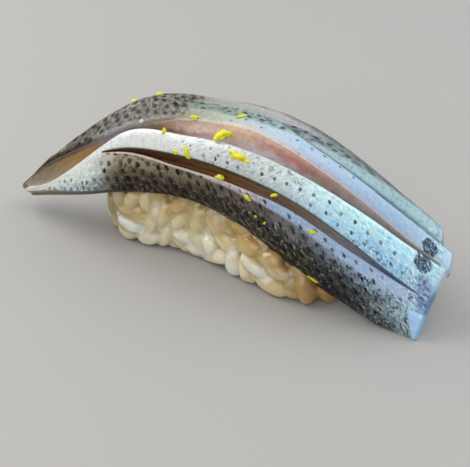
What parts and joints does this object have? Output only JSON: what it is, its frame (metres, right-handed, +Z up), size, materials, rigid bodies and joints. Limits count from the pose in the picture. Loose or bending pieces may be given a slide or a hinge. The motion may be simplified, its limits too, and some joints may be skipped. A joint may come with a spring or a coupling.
{
  "type": "gizzard shad nigiri",
  "caption": "Piece of nigiri sushi: a cured silver-skinned fillet with lengthwise cuts, draped over a pressed ball of rice.",
  "frame": {"origin": "middle of the bounding box at the level that the rice stands on", "axes": "+X along the fish towards its head end, +Y across it, +Z up"},
  "size_m": [0.0926, 0.0266, 0.0295],
  "materials": {
    "fish_skin": "wet silver skin with rows of dark dots",
    "rice_grain": "moist, slightly translucent cooked rice"
  },
  "bodies": {
    "root": {"fish": "fish_skin", "rice": "rice_grain"}
  },
  "joints": []
}
